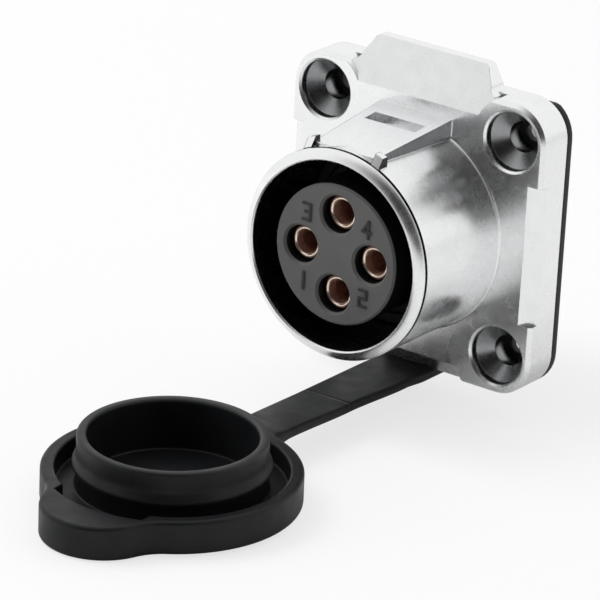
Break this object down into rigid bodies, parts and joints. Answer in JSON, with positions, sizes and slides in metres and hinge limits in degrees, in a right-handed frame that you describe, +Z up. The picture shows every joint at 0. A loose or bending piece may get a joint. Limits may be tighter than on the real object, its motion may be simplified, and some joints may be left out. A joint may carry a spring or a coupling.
{
  "type": "panel mount circular power connector socket",
  "caption": "Square-flange panel socket for a round latching plug, with female contacts in a grey insulator, a die-cast shell and a tethered rubber dust cap.",
  "frame": {"origin": "centre of the panel face, on the axis of the nose, at the back of the flange gasket", "axes": "+Y along the barrel into the panel, the nose points along -Y, +Z up to the tab and the latch ramp, +X to the side"},
  "size_m": [0.031, 0.0731, 0.0368],
  "materials": {
    "plated_zinc": "bright nickel plating on die-cast zinc",
    "plated_brass": "nickel-plated turned brass",
    "grey_plastic": "dark grey moulded thermoplastic, satin",
    "black_plastic": "black moulded thermoplastic",
    "seal_rubber": "black sealing rubber",
    "cap_rubber": "black moulded rubber, satin",
    "gold_plated_brass": "thin gold plating over machined brass",
    "spring_copper": "spring copper strip"
  },
  "bodies": {
    "socket": {"shell": "plated_zinc", "front_insert": "grey_plastic", "rear_insert": "black_plastic", "back_ring": "plated_brass", "insert_seal": "seal_rubber", "face_seal": "seal_rubber", "panel_gasket": "cap_rubber", "contact_1": "gold_plated_brass", "contact_2": "gold_plated_brass", "contact_3": "gold_plated_brass", "contact_4": "gold_plated_brass", "contact_spring_1": "spring_copper", "contact_spring_2": "spring_copper", "contact_spring_3": "spring_copper", "contact_spring_4": "spring_copper"},
    "strap": {"cap_strap": "cap_rubber"},
    "cap": {"dust_cap": "cap_rubber"}
  },
  "joints": [
    {"name": "strap_bend", "type": "hinge", "parent": "socket", "child": "strap", "pos_m": [0, -0.0064, -0.01615], "axis": [-1, 0, 0], "range_deg": [-90, 6]},
    {"name": "cap_bend", "type": "hinge", "parent": "strap", "child": "cap", "pos_m": [0, -0.02899, -0.01666], "axis": [-1, 0, 0], "range_deg": [-5, 85.3]}
  ]
}
